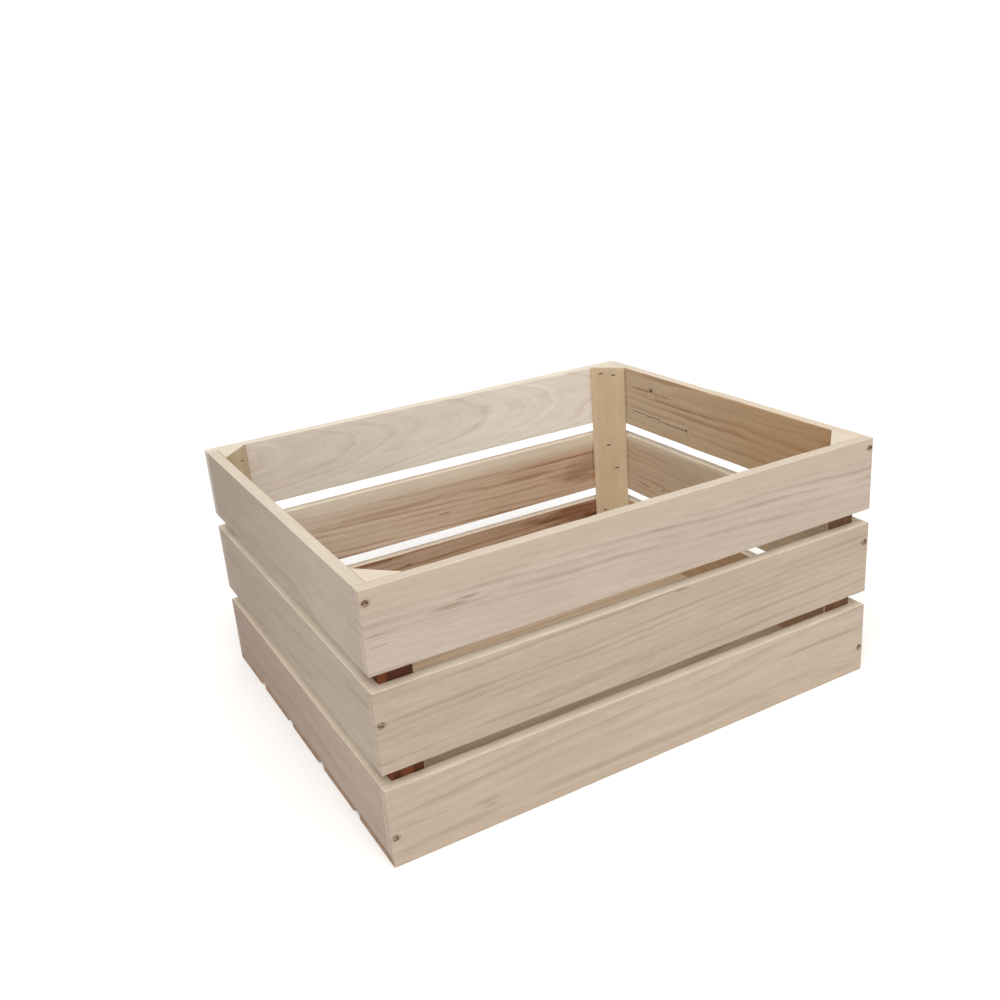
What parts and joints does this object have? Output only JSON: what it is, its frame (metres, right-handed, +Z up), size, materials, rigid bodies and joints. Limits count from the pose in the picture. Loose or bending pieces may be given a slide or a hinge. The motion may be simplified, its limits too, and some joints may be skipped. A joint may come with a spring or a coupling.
{
  "type": "wooden apple crate",
  "caption": "Open slatted wooden crate for picking, carrying and stacking apples, with thin slat walls on three-cornered posts and a gapped board floor.",
  "frame": {"origin": "middle of the footprint, on the underside of the floor boards", "axes": "+X along the long front and back walls, towards the right end seen from the front; +Y from the front wall to the back wall; +Z up, out of the open top"},
  "size_m": [0.5, 0.405, 0.2375],
  "materials": {
    "slat_wood": "bare, planed, pale beige",
    "post_wood": "bare, sawn",
    "floor_wood": "bare, planed, slightly browner",
    "nail_steel": "dark bright-drawn steel, dull",
    "staple_steel": "zinc-coated wire, dull"
  },
  "bodies": {
    "root": {"front_bottom_slat": "slat_wood", "front_middle_slat": "slat_wood", "front_top_slat": "slat_wood", "back_bottom_slat": "slat_wood", "back_middle_slat": "slat_wood", "back_top_slat": "slat_wood", "left_end_bottom_slat": "slat_wood", "left_end_middle_slat": "slat_wood", "left_end_top_slat": "slat_wood", "right_end_bottom_slat": "slat_wood", "right_end_middle_slat": "slat_wood", "right_end_top_slat": "slat_wood", "front_left_post": "post_wood", "front_right_post": "post_wood", "back_left_post": "post_wood", "back_right_post": "post_wood", "floor_board_1": "floor_wood", "floor_board_2": "floor_wood", "floor_board_3": "floor_wood", "floor_board_4": "floor_wood", "floor_board_5": "floor_wood", "front_left_brads": "nail_steel", "front_right_brads": "nail_steel", "back_left_brads": "nail_steel", "back_right_brads": "nail_steel", "left_floor_nails": "nail_steel", "right_floor_nails": "nail_steel", "front_left_staples": "staple_steel", "front_right_staples": "staple_steel", "back_left_staples": "staple_steel", "back_right_staples": "staple_steel"}
  },
  "joints": []
}
